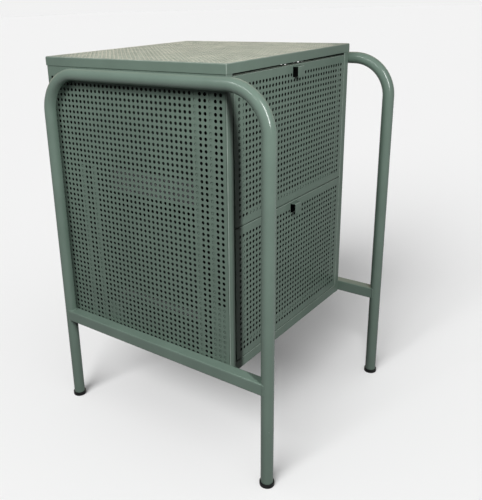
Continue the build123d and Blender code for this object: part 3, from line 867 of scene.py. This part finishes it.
def lid():
    """Lid: a perforated tray turned upside down over the body."""
    half_width = (lid_high.x - lid_low.x) / 2
    half_depth = (lid_high.y - lid_low.y) / 2
    middle_y = (lid_low.y + lid_high.y) / 2
    shell = tray(half_width, half_depth, PANEL_BEND, lid_high.z - lid_low.z, {
        "Columns": LID_HOLE_COLUMNS,
        "Rows": SIDE_HOLE_COLUMNS,
        "First Column": -(LID_HOLE_COLUMNS - 1) / 2 * HOLE_PITCH,
        "First Row": body_front + SIDE_FIRST_HOLE - middle_y,
    })
    return standing(shell, (0, middle_y, lid_high.z), (1, 0, 0), (0, 1, 0))


# Side panels: painted shade on the hole walls and the inner face; the folds at front and rear stay
# green
side_enamel = sheet_paint("side_enamel", {
    "half_width": body_side - HOLE_GREEN_DEPTH,
    "depths": (body_front + GREEN_RIM, body_rear - GREEN_RIM),
    "heights": (0.0, side_high.z),
})
left_panel_mesh = left_side_panel()
side_meshes = {"left": left_panel_mesh, "right": mirrored(left_panel_mesh)}
for side, mesh in side_meshes.items():
    place_piece(
        side + "_perforated_side", mesh, side_enamel,
        "cabinet", side + "_side_panel",
    )
place_piece("perforated_lid", lid(), sheet_enamel, "cabinet", "top_lid")


# Drawers

def drawer_front(name):
    """Drawer front: a perforated tray with a slot behind its finger pull."""
    low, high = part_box(name + "_drawer_front")
    pull_low, pull_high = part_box(name + "_finger_pull")
    half_width = (high.x - low.x) / 2
    half_height = (high.z - low.z) / 2
    middle_z = (low.z + high.z) / 2
    slot_top = high.z - PULL_DROP + PULL_BEND - PULL_SHEET
    slot_low = high.z - PULL_DROP - PULL_PLATE
    shell = tray(half_width, half_height, FRONT_CORNER, high.y - low.y, {
        "Columns": DRAWER_HOLE_COLUMNS,
        "Rows": DRAWER_HOLE_ROWS,
        "First Column": -(DRAWER_HOLE_COLUMNS - 1) / 2 * HOLE_PITCH,
        "First Row": half_height - DRAWER_TOP_HOLE - (DRAWER_HOLE_ROWS - 1) * HOLE_PITCH,
        "Slotted": True,
        "Slot Width": pull_high.x - pull_low.x + 2 * PULL_SLOT_GAP,
        "Slot Height": slot_top - slot_low,
        "Slot Middle": (slot_top + slot_low) / 2 - middle_z,
    })
    return standing(shell, (0, low.y, middle_z), (1, 0, 0), (0, 0, 1))


def finger_pull(name):
    """Finger pull: a bent strip with eased edges, out over the slot and down in front of it."""
    low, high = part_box(name + "_finger_pull")
    top = high.z - PULL_DROP + SHEET
    inner_y = high.y
    outer_y = low.y
    section = bent_section(
        [
            (inner_y, high.z),
            (inner_y, top - PULL_SHEET),
            (outer_y + PULL_SHEET, top - PULL_SHEET),
            (outer_y + PULL_SHEET, low.z),
        ],
        PULL_SHEET,
        PULL_BEND,
        -1,
    )

    def to_space(point, reach):
        """A point of the pull's section, at a reach from the middle to one side."""
        return (reach, point.x, point.y)

    mesh = folded_sheet(section, low.x, high.x, to_space)
    shell = bmesh.new()
    shell.from_mesh(mesh)
    sharp = [edge for edge in shell.edges if edge.calc_face_angle(0.0) > SHARP_ANGLE]
    bmesh.ops.bevel(
        shell, geom=sharp, offset=PULL_EDGE, segments=PULL_EDGE_STEPS, profile=0.5,
        affect="EDGES", clamp_overlap=True,
    )
    return outward(shell)


for drawer in ("upper", "lower"):
    front_low, front_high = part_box(drawer + "_drawer_front")
    # Drawer front: painted shade on the hole walls and the back; the face and its rim stay green
    front_enamel = sheet_paint(drawer + "_front_enamel", {
        "half_width": front_high.x - GREEN_RIM,
        "depths": (front_low.y + HOLE_GREEN_DEPTH, front_high.y),
        "heights": (front_low.z + GREEN_RIM, front_high.z - GREEN_RIM),
    })
    place_piece(
        drawer + "_perforated_front", drawer_front(drawer), front_enamel,
        drawer + "_drawer", drawer + "_drawer_front",
    )
    place_piece(
        drawer + "_bent_pull", finger_pull(drawer), sheet_enamel,
        drawer + "_drawer", drawer + "_finger_pull",
    )


# Tube frames

tube_low, tube_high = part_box("left_frame_tube")
frame_x = (tube_low.x + tube_high.x) / 2
leg_y = tube_high.y - TUBE_RADIUS
frame_top = tube_high.z - TUBE_RADIUS
bar_low, bar_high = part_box("left_stretcher")


def frame_path():
    """Places and directions along the left frame, from the front foot to the rear foot."""
    bend_z = frame_top - FRAME_BEND
    bend_y = leg_y - FRAME_BEND
    stations = [((-leg_y, TUBE_END), 90)]
    for centre_y, start in ((-bend_y, 90), (bend_y, 0)):
        for step in range(FRAME_BEND_STEPS + 1):
            heading = start - 90 * step / FRAME_BEND_STEPS
            angle = math.radians(heading + 90)
            y = centre_y + FRAME_BEND * math.cos(angle)
            z = bend_z + FRAME_BEND * math.sin(angle)
            stations.append(((y, z), heading))
    stations.append(((leg_y, TUBE_END), -90))
    return stations


def frame_tube():
    """Left frame: one bent tube, with its wall and bore."""
    walls = []
    for radius in (TUBE_RADIUS, TUBE_RADIUS - TUBE_WALL):
        rings = []
        for (y, z), heading in frame_path():
            along = math.radians(heading)
            ring = []
            for step in range(TUBE_SIDES):
                angle = 2 * math.pi * step / TUBE_SIDES
                lean = radius * math.sin(angle)
                ring.append((
                    frame_x + radius * math.cos(angle),
                    y - lean * math.sin(along),
                    z + lean * math.cos(along),
                ))
            rings.append(ring)
        walls.append(rings)
    outer, inner = walls
    return lofted(outer + inner[::-1])


def bar_outline(half, corner):
    """Square outline with rounded corners and points along its flats, across and up."""
    points = []
    flat = half - corner
    for quarter in range(4):
        turn = math.radians(90 * quarter)
        for step in range(STRETCHER_CORNER_STEPS + 1):
            angle = math.radians(90 * step / STRETCHER_CORNER_STEPS)
            points.append((flat + corner * math.cos(angle), flat + corner * math.sin(angle), turn))
        for step in range(1, STRETCHER_FLAT_STEPS):
            points.append((flat - 2 * flat * step / STRETCHER_FLAT_STEPS, half, turn))
    return [
        (x * math.cos(turn) - z * math.sin(turn), x * math.sin(turn) + z * math.cos(turn))
        for x, z, turn in points
    ]


def cope_reach(x):
    """How far along Y the stretcher runs at this distance from the leg's axis."""
    to_leg = math.sqrt(max(TUBE_RADIUS ** 2 - x ** 2, 0.0))
    return leg_y - max(to_leg, COPE_TRIM)


def stretcher_ring(half, corner, end):
    """One coped end of the stretcher, as a ring of places."""
    middle_z = (bar_low.z + bar_high.z) / 2
    middle_x = (bar_low.x + bar_high.x) / 2
    ring = []
    for across, up in bar_outline(half, corner):
        x = middle_x + across
        ring.append((x, end * cope_reach(x - frame_x), middle_z + up))
    return ring


def stretcher():
    """Left stretcher: a square tube coped onto both legs."""
    half = (bar_high.x - bar_low.x) / 2
    inner_half = half - STRETCHER_WALL
    inner_corner = STRETCHER_CORNER - STRETCHER_WALL
    return lofted([
        stretcher_ring(half, STRETCHER_CORNER, -1),
        stretcher_ring(half, STRETCHER_CORNER, 1),
        stretcher_ring(inner_half, inner_corner, 1),
        stretcher_ring(inner_half, inner_corner, -1),
    ])


def weld_beads():
    """Weld round both ends of the left stretcher."""
    half = (bar_high.x - bar_low.x) / 2
    beads = []
    for end in (-1, 1):
        ring = stretcher_ring(half, STRETCHER_CORNER, end)
        line = bpy.data.meshes.new("weld_line")
        count = len(ring)
        line.from_pydata(ring, [(index, (index + 1) % count) for index in range(count)], [])
        beads.append(grown(weld_bead, {
            "Bead Radius": BEAD_RADIUS,
            "Ripple": BEAD_RIPPLE,
            "Ripple Length": BEAD_RIPPLE_LENGTH,
        }, line))
    return beads


def foot_cap(y):
    """Foot cap: a cup with a rounded bottom edge, round the end of a left leg."""
    low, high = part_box("left_front_foot_cap")
    radius = (high.x - low.x) / 2
    height = high.z - low.z
    bore = TUBE_RADIUS + FOOT_FIT_GAP
    profile = [(0, 0)]
    profile += quarter_arc(
        (radius - FOOT_BOTTOM_EDGE, FOOT_BOTTOM_EDGE), FOOT_BOTTOM_EDGE, -90, BEND_STEPS
    )
    profile += quarter_arc(
        (radius - FOOT_TOP_EDGE, height - FOOT_TOP_EDGE), FOOT_TOP_EDGE, 0, FOOT_TOP_STEPS
    )
    profile += [
        (bore + FOOT_MOUTH_WIDTH, height),
        (bore, height - FOOT_MOUTH_DEPTH),
        (bore, FOOT_FLOOR),
        (0, FOOT_FLOOR),
    ]
    cap = lathed(profile, FOOT_SIDES)
    cap.transform(Matrix.Translation((frame_x, y, 0)))
    return cap


left_pieces = {
    "frame_tube": (frame_tube(), frame_enamel, "frame_enamel", "bent_frame"),
    "stretcher": (
        joined([stretcher(), *weld_beads()]), frame_enamel, "frame_enamel", "welded_stretcher",
    ),
    "front_foot_cap": (foot_cap(-leg_y), foot_plastic, "foot_plastic", "front_foot"),
    "rear_foot_cap": (foot_cap(leg_y), foot_plastic, "foot_plastic", "rear_foot"),
}
for node, (mesh, finish, slot, name) in left_pieces.items():
    right_mesh = mirrored(mesh)
    place_piece("left_" + name, mesh, finish, "cabinet", "left_" + node)
    place_piece("right_" + name, right_mesh, finish, "cabinet", "right_" + node)


# Rivets

def rivet_profile(grip):
    """Blind rivet: domed head with the mandrel's dimple, shank and bulb behind."""
    flare = RIVET_DIMPLE * RIVET_DIMPLE_FLARE
    profile = [
        (0, RIVET_DIMPLE_FLOOR),
        (RIVET_DIMPLE, RIVET_DIMPLE_FLOOR),
        (flare, RIVET_HEAD_HEIGHT),
    ]
    for step in range(1, RIVET_STEPS + 1):
        angle = math.radians(90 * step / RIVET_STEPS)
        reach = flare + (RIVET_HEAD - flare) * math.sin(angle)
        dome = RIVET_RIM_SHARE + (1 - RIVET_RIM_SHARE) * math.cos(angle)
        profile.append((reach, RIVET_HEAD_HEIGHT * dome))
    profile += [(RIVET_HEAD, 0), (RIVET_SHANK, 0), (RIVET_SHANK, -grip)]
    for step in range(1, RIVET_STEPS + 1):
        angle = math.radians(180 * step / RIVET_STEPS)
        swell = RIVET_SHANK + (RIVET_BULB - RIVET_SHANK) * math.sin(angle)
        profile.append((swell, -grip - RIVET_BULB_HEIGHT * step / RIVET_STEPS))
    return profile + [(0, -grip - RIVET_BULB_HEIGHT)]


def set_fasteners(template_mesh, places, turn):
    """Copies of one fastener at every place, turned as one."""
    template = bpy.data.objects.new("fastener_pattern", template_mesh)
    points = bpy.data.meshes.new("fastener_places")
    points.from_pydata(places, [], [])
    mesh = grown(fasteners, {"Fastener": template, "Turn": turn}, points)
    bpy.data.objects.remove(template)
    return mesh


def box_centres(node):
    """Centre of each separate solid in a node that holds several."""
    solids = bmesh.new()
    solids.from_mesh(frame["nodes"][node].data)
    bmesh.ops.remove_doubles(solids, verts=solids.verts, dist=MERGE_DISTANCE)
    waiting = set(solids.verts)
    centres = []
    while waiting:
        reached = [waiting.pop()]
        for vert in reached:
            for edge in vert.link_edges:
                other = edge.other_vert(vert)
                if other in waiting:
                    waiting.remove(other)
                    reached.append(other)
        low = Vector(min(vert.co[axis] for vert in reached) for axis in range(3))
        high = Vector(max(vert.co[axis] for vert in reached) for axis in range(3))
        centres.append((low + high) / 2)
    solids.free()
    return sorted(centres, key=lambda centre: [round(value, PLACE_DIGITS) for value in centre])


def back_rivets():
    """Rivets through the back panel and the sheet behind it."""
    rivet = lathed(rivet_profile(2 * SHEET), FASTENER_SIDES)
    places = [(centre.x, body_rear, centre.z) for centre in box_centres("back_rivets")]
    return set_fasteners(rivet, places, (math.radians(-90), 0, 0))


def slide_rivets(drawer):
    """Rivets through the drawer box's sides and its slides, with their heads inside the box."""
    box_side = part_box(drawer + "_drawer_box")[1].x
    centres = box_centres(drawer + "_slide_rivets")
    rivet = lathed(rivet_profile(SHEET + SLIDE_SHEET), FASTENER_SIDES)
    meshes = []
    for side in (-1, 1):
        face_x = side * (box_side - SHEET)
        places = [(face_x, centre.y, centre.z) for centre in centres if centre.x * side > 0]
        meshes.append(set_fasteners(rivet, places, (0, math.radians(-90 * side), 0)))
    return joined(meshes)


place_piece(
    "back_panel_rivets", back_rivets(), zinc_fastener, "cabinet", "back_rivets",
)
for drawer in ("upper", "lower"):
    place_piece(
        drawer + "_drawer_rivets", slide_rivets(drawer), zinc_fastener,
        drawer + "_drawer", drawer + "_slide_rivets",
    )


# Finishes of the nodes that stay as they are

finishes = {
    "sheet_enamel": sheet_enamel,
    "frame_enamel": frame_enamel,
    "foot_plastic": foot_plastic,
    "bumper_plastic": bumper_plastic,
    "slide_steel": slide_steel,
    "ball_steel": ball_steel,
    "zinc_fastener": zinc_fastener,
}
# Inner sheet parts, all but the front rail, get the enamel with painted shade inside
for part in frame["record"]["subparts"]:
    finish = finishes[part["material_slot"]]
    inside = finish == sheet_enamel and part["node"] != "bottom_front_rail"
    node = frame["nodes"][part["node"]]
    for material_slot in node.material_slots:
        material_slot.material = inner_enamel if inside else finish


# Floor, light and camera

def seen_or_hidden(tree, shown, hidden, reflected):
    """Shown to the camera, in part to reflections, and hidden to the light that falls on things."""
    path = add_node(tree, "ShaderNodeLightPath")
    glossy = calculate(tree, "MULTIPLY", path.outputs["Is Glossy Ray"], reflected)
    seen = calculate(tree, "MAXIMUM", path.outputs["Is Camera Ray"], glossy)
    seen = calculate(tree, "MAXIMUM", seen, path.outputs["Is Transmission Ray"])
    return add_node(tree, "ShaderNodeMixShader", {0: seen, 1: hidden, 2: shown}).outputs[0]


def pale_floor():
    """A wide pale floor that keeps the cabinet's soft shadow."""
    shell = bmesh.new()
    bmesh.ops.create_grid(shell, x_segments=1, y_segments=1, size=FLOOR_SIZE)
    mesh = bpy.data.meshes.new("floor")
    shell.to_mesh(mesh)
    shell.free()
    floor = bpy.data.objects.new("floor", mesh)
    bpy.context.scene.collection.objects.link(floor)
    material = bpy.data.materials.new("floor_paper")
    material.use_nodes = True
    tree = material.node_tree
    tree.nodes.remove(tree.nodes["Principled BSDF"])
    lit = add_node(tree, "ShaderNodeBsdfDiffuse", {"Color": (*FLOOR_PAPER, 1)}).outputs[0]
    glow = add_node(tree, "ShaderNodeEmission", {
        "Color": (*BACKGROUND, 1),
        "Strength": FLOOR_GLOW,
    }).outputs[0]
    shown = add_node(tree, "ShaderNodeAddShader", {0: lit, 1: glow}).outputs[0]
    hidden = add_node(tree, "ShaderNodeBsdfDiffuse", {"Color": (*FLOOR_HIDDEN, 1)}).outputs[0]
    surface = seen_or_hidden(tree, shown, hidden, FLOOR_REFLECTED)
    tree.links.new(surface, tree.nodes["Material Output"].inputs["Surface"])
    mesh.materials.append(material)
    return floor


def towards(azimuth, elevation):
    """Unit direction; the azimuth counts from -Y towards -X, in degrees."""
    around = math.radians(azimuth)
    up = math.radians(elevation)
    return Vector((
        -math.sin(around) * math.cos(up),
        -math.cos(around) * math.cos(up),
        math.sin(up),
    ))


def hung_lamp(name, kind, direction, place=(0, 0, 0)):
    """A lamp that shines from its direction and that the camera doesn't see."""
    lamp = bpy.data.lights.new(name, kind)
    holder = bpy.data.objects.new(name, lamp)
    bpy.context.scene.collection.objects.link(holder)
    holder.location = place
    holder.rotation_mode = "QUATERNION"
    holder.rotation_quaternion = direction.to_track_quat("Z", "Y")
    holder.visible_camera = False
    return holder


def soft_box(name, target, azimuth, elevation, distance, width, height, level, colour=(1, 1, 1)):
    """A lamp that lights its target to a level at which a white surface would be white at 1."""
    direction = towards(azimuth, elevation)
    holder = hung_lamp(name, "AREA", direction, Vector(target) + direction * distance)
    holder.data.shape = "RECTANGLE"
    holder.data.size = width
    holder.data.size_y = height
    holder.data.energy = level * math.pi ** 2 * distance ** 2
    holder.data.color = colour
    return holder


def soft_sun(name, azimuth, elevation, level, spread):
    """A broad distant lamp."""
    holder = hung_lamp(name, "SUN", towards(azimuth, elevation))
    holder.data.angle = math.radians(spread)
    holder.data.energy = level * math.pi
    return holder


def limit_lamp(lamp, thing, state):
    """Keep a lamp to one thing alone, or off it."""
    group = bpy.data.collections.new(lamp.name + "_reach")
    group.objects.link(thing)
    lamp.light_linking.receiver_collection = group
    for member in group.collection_objects:
        member.light_linking.link_state = state


def pale_world():
    """Pale background for the camera, a warm glow behind for reflections, and little light."""
    world = bpy.data.worlds.new("studio")
    bpy.context.scene.world = world
    world.use_nodes = True
    tree = world.node_tree
    tree.nodes.remove(tree.nodes["Background"])
    direction = add_node(tree, "ShaderNodeTexCoord").outputs["Generated"]
    behind = add_node(
        tree, "ShaderNodeVectorMath", {0: direction, 1: BEHIND_CABINET}, operation="DOT_PRODUCT"
    ).outputs["Value"]
    reflected = mixed_colour(tree, ranged(tree, behind, 0.2, 0.8), REFLECTED_DIM, REFLECTED_WARM)
    path = add_node(tree, "ShaderNodeLightPath")
    colour = mixed_colour(tree, path.outputs["Is Camera Ray"], reflected, BACKGROUND)
    shown = add_node(tree, "ShaderNodeBackground", {"Color": colour}).outputs[0]
    hidden = add_node(tree, "ShaderNodeBackground", {"Color": (*WORLD_HIDDEN, 1)}).outputs[0]
    surface = seen_or_hidden(tree, shown, hidden, 1.0)
    tree.links.new(surface, tree.nodes["World Output"].inputs["Surface"])


def studio():
    """Four soft lamps on the cabinet, two distant ones on the floor alone, and the backdrop."""
    floor = pale_floor()
    key = soft_box(
        "key_lamp", target=(-0.19, -0.156, 0.64), azimuth=24, elevation=27,
        distance=1.5, width=0.14, height=1.0, level=1.06,
    )
    strip = soft_box(
        "strip_lamp", target=(-0.21, 0.0, 0.60), azimuth=96, elevation=46,
        distance=1.7, width=1.5, height=0.13, level=0.36,
    )
    side = soft_box(
        "side_lamp", target=(-0.21, 0.05, 0.55), azimuth=114, elevation=36,
        distance=1.7, width=0.7, height=0.7, level=0.42,
    )
    side.visible_glossy = False
    rear = soft_box(
        "rear_lamp", target=(0.0, 0.05, 0.70), azimuth=232, elevation=14,
        distance=2.2, width=1.4, height=1.4, level=0.15, colour=WARM_LIGHT,
    )
    for lamp in (key, strip, side, rear):
        limit_lamp(lamp, floor, "EXCLUDE")
    floor_side = soft_sun("floor_side_lamp", azimuth=82, elevation=35, level=1.14, spread=40)
    floor_top = soft_sun("floor_top_lamp", azimuth=62, elevation=66, level=0.40, spread=95)
    for lamp in (floor_side, floor_top):
        limit_lamp(lamp, floor, "INCLUDE")
    pale_world()


def photo_camera():
    """The photograph's view: its station, heading, tilt and roll, with its frame shifted."""
    station = Vector((-0.9918, -0.7081, 0.8000))
    heading = 0.9012
    tilt = 0.3339
    roll = 0.0334
    focal_pixels = 638.4
    centre_x = 194.8
    centre_y = 220.9
    frame_width = 482
    frame_height = 500
    ahead = Vector((
        math.sin(heading) * math.cos(tilt),
        math.cos(heading) * math.cos(tilt),
        -math.sin(tilt),
    ))
    level_right = Vector((math.cos(heading), -math.sin(heading), 0))
    level_down = ahead.cross(level_right)
    right = math.cos(roll) * level_right + math.sin(roll) * level_down
    down = math.cos(roll) * level_down - math.sin(roll) * level_right
    lens = bpy.data.cameras.new("photo_camera")
    lens.sensor_width = 36
    lens.lens = focal_pixels * lens.sensor_width / frame_height
    lens.shift_x = (frame_width / 2 - centre_x) / frame_height
    lens.shift_y = (centre_y - frame_height / 2) / frame_height
    lens.clip_start = 0.01
    camera = bpy.data.objects.new("photo_camera", lens)
    bpy.context.scene.collection.objects.link(camera)
    turn = Matrix((right, -down, -ahead)).transposed().to_4x4()
    camera.matrix_world = Matrix.Translation(station) @ turn
    bpy.context.scene.camera = camera


studio()
photo_camera()
bpy.context.scene.view_settings.view_transform = "Standard"
